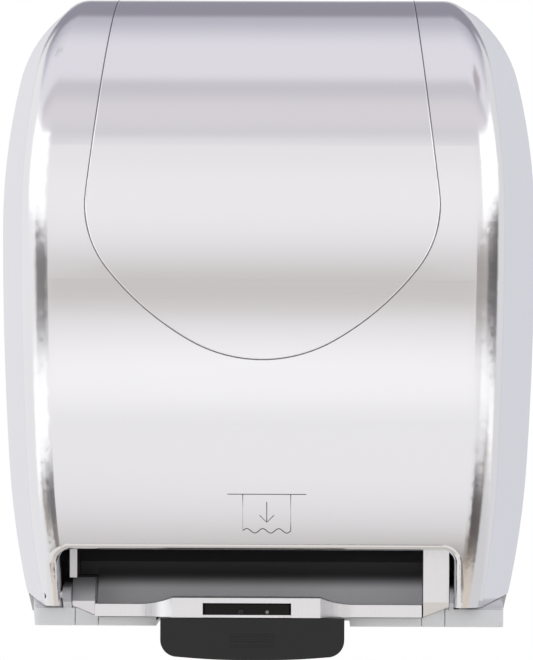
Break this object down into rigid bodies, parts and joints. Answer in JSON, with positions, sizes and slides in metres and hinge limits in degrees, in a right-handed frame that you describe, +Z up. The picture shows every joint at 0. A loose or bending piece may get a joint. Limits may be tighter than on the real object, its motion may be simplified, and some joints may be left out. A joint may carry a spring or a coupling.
{
  "type": "automatic roll towel dispenser",
  "caption": "Wall mounted roll towel dispenser with a hinged barrel-shaped cover, a motor drive, a towel sensor in a projecting lip and a push lever below.",
  "frame": {"origin": "centre of the four wall screw holes, on the back plane", "axes": "+X to the viewer's right, +Y into the wall, +Z up"},
  "size_m": [0.33, 0.231, 0.3933],
  "materials": {
    "cover": "satin pearl metallic with a fine horizontal grain",
    "panel": "satin pearl metallic with a fine horizontal grain",
    "bright": "bright silver, fine vertical brushing",
    "housing": "light grey, fine texture",
    "tray": "light grey satin",
    "dark_gloss": "black, glossy",
    "module": "dark grey",
    "lever": "black matte",
    "window": "smoked, dark brown",
    "lens": "dark dome",
    "lamp": "small pale lamp",
    "steel": "brushed",
    "spring_steel": "drawn wire",
    "rubber": "ground rubber",
    "gear": "natural white",
    "board": "green board",
    "cell": "sleeved cell",
    "contact": "plated",
    "hub": "blue hub",
    "control": "mid grey",
    "button": "blue",
    "chrome": "plated"
  },
  "bodies": {
    "root": {"rear_housing": "housing", "base_tray": "tray", "hinge_bracket_left": "dark_gloss", "hinge_bracket_right": "dark_gloss", "hinge_pins": "steel", "left_cheek": "module", "left_end_block": "dark_gloss", "gear_housing": "bright", "gear_housing_lid": "module", "paper_chute": "dark_gloss", "front_lip": "bright", "sensor_window": "window", "sensor_lens": "lens", "status_led": "lamp", "tear_bar": "steel", "module_fascia": "module", "module_cover": "module", "module_screws": "steel", "control_box": "control", "control_board": "board", "battery_box": "module", "battery_cells": "cell", "battery_contacts": "contact", "shaft_bushings": "gear", "idler_pin": "steel", "drive_motor": "steel", "carriage_shaft": "steel", "lever_shaft": "steel", "lever_return_spring": "spring_steel", "arm_hinge_pins": "steel", "latch_strike": "housing"},
    "cover": {"front_cover": "cover", "cover_panel": "panel", "lock_barrel": "chrome", "cover_magnet": "steel"},
    "lock": {"lock_plug": "chrome", "latch_cam": "steel"},
    "lever": {"push_lever": "lever"},
    "clutch": {"clutch_gear": "gear"},
    "feed_roller": {"feed_shaft": "steel", "feed_sleeves": "rubber", "roller_gear": "gear"},
    "idler": {"idler_gear": "gear"},
    "pinion": {"motor_pinion": "contact"},
    "carriage": {"pinch_carriage": "module"},
    "pinch": {"pinch_rollers": "gear"},
    "arm_left": {"roll_arm_left": "control"},
    "arm_right": {"roll_arm_right": "control"},
    "hub_left": {"core_hub_left": "hub"},
    "hub_right": {"core_hub_right": "hub"},
    "door": {"battery_door": "module"},
    "button": {"feed_button": "button"},
    "length_switch": {"towel_length_switch": "lever"},
    "delay": {"delay_switch": "lever"}
  },
  "joints": [
    {"name": "cover_hinge", "type": "hinge", "parent": "root", "child": "cover", "pos_m": [0, -0.197, -0.1555], "axis": [1, 0, 0], "range_deg": [0, 90]},
    {"name": "lock_turn", "type": "hinge", "parent": "cover", "child": "lock", "pos_m": [0, -0.052, 0.18], "axis": [0, 0, -1], "range_deg": [0, 90]},
    {"name": "lever_push", "type": "hinge", "parent": "root", "child": "lever", "pos_m": [0, -0.128, -0.13182], "axis": [1, 0, 0], "range_deg": [0, 18], "stiffness_Nm_per_rad": 0.4, "springref_deg": -14.32, "deforming": ["lever_return_spring"]},
    {"name": "clutch_spin", "type": "hinge", "parent": "root", "child": "clutch", "pos_m": [0, -0.12, -0.085], "axis": [1, 0, 0], "range_deg": [-43.08, 0.5]},
    {"name": "feed_spin", "type": "hinge", "parent": "root", "child": "feed_roller", "pos_m": [0, -0.12, -0.085], "axis": [1, 0, 0], "continuous": true},
    {"name": "idler_spin", "type": "hinge", "parent": "root", "child": "idler", "pos_m": [0.1, -0.09501, -0.07237], "axis": [1, 0, 0], "continuous": true},
    {"name": "pinion_spin", "type": "hinge", "parent": "root", "child": "pinion", "pos_m": [0.1, -0.06802, -0.05927], "axis": [1, 0, 0], "continuous": true},
    {"name": "carriage_tilt", "type": "hinge", "parent": "root", "child": "carriage", "pos_m": [0, -0.152, -0.056], "axis": [-1, 0, 0], "range_deg": [0, 4], "stiffness_Nm_per_rad": 0.5, "springref_deg": -17.19},
    {"name": "pinch_spin", "type": "hinge", "parent": "carriage", "child": "pinch", "pos_m": [0, -0.1453, -0.085], "axis": [1, 0, 0], "continuous": true},
    {"name": "arm_left_flex", "type": "hinge", "parent": "root", "child": "arm_left", "pos_m": [-0.11625, -0.014, 0.075], "axis": [0, 0, -1], "range_deg": [0, 8], "stiffness_Nm_per_rad": 2, "springref_deg": -5.73},
    {"name": "arm_right_flex", "type": "hinge", "parent": "root", "child": "arm_right", "pos_m": [0.10175, -0.014, 0.075], "axis": [0, 0, 1], "range_deg": [0, 8], "stiffness_Nm_per_rad": 2, "springref_deg": -5.73},
    {"name": "hub_left_spin", "type": "hinge", "parent": "arm_left", "child": "hub_left", "pos_m": [-0.107, -0.118, 0.075], "axis": [1, 0, 0], "continuous": true},
    {"name": "hub_right_spin", "type": "hinge", "parent": "arm_right", "child": "hub_right", "pos_m": [0.092, -0.118, 0.075], "axis": [1, 0, 0], "continuous": true},
    {"name": "battery_door_hinge", "type": "hinge", "parent": "root", "child": "door", "pos_m": [0, -0.009, -0.13015], "axis": [-1, 0, 0], "range_deg": [0, 80]},
    {"name": "feed_button_press", "type": "slide", "parent": "root", "child": "button", "axis": [0, 1, 0], "range_m": [0, 0.003], "stiffness_N_per_m": 250, "springref_m": -0.001},
    {"name": "towel_length_slide", "type": "slide", "parent": "root", "child": "length_switch", "axis": [1, 0, 0], "range_m": [0, 0.003]},
    {"name": "delay_slide", "type": "slide", "parent": "root", "child": "delay", "axis": [1, 0, 0], "range_m": [0, 0.003]}
  ],
  "couplings": [
    {"joint": "clutch_spin", "follows": "lever_push", "ratio": -2.3929},
    {"joint": "idler_spin", "follows": "feed_spin", "ratio": -3},
    {"joint": "pinion_spin", "follows": "feed_spin", "ratio": 12},
    {"joint": "pinch_spin", "follows": "feed_spin", "ratio": -2.125}
  ]
}
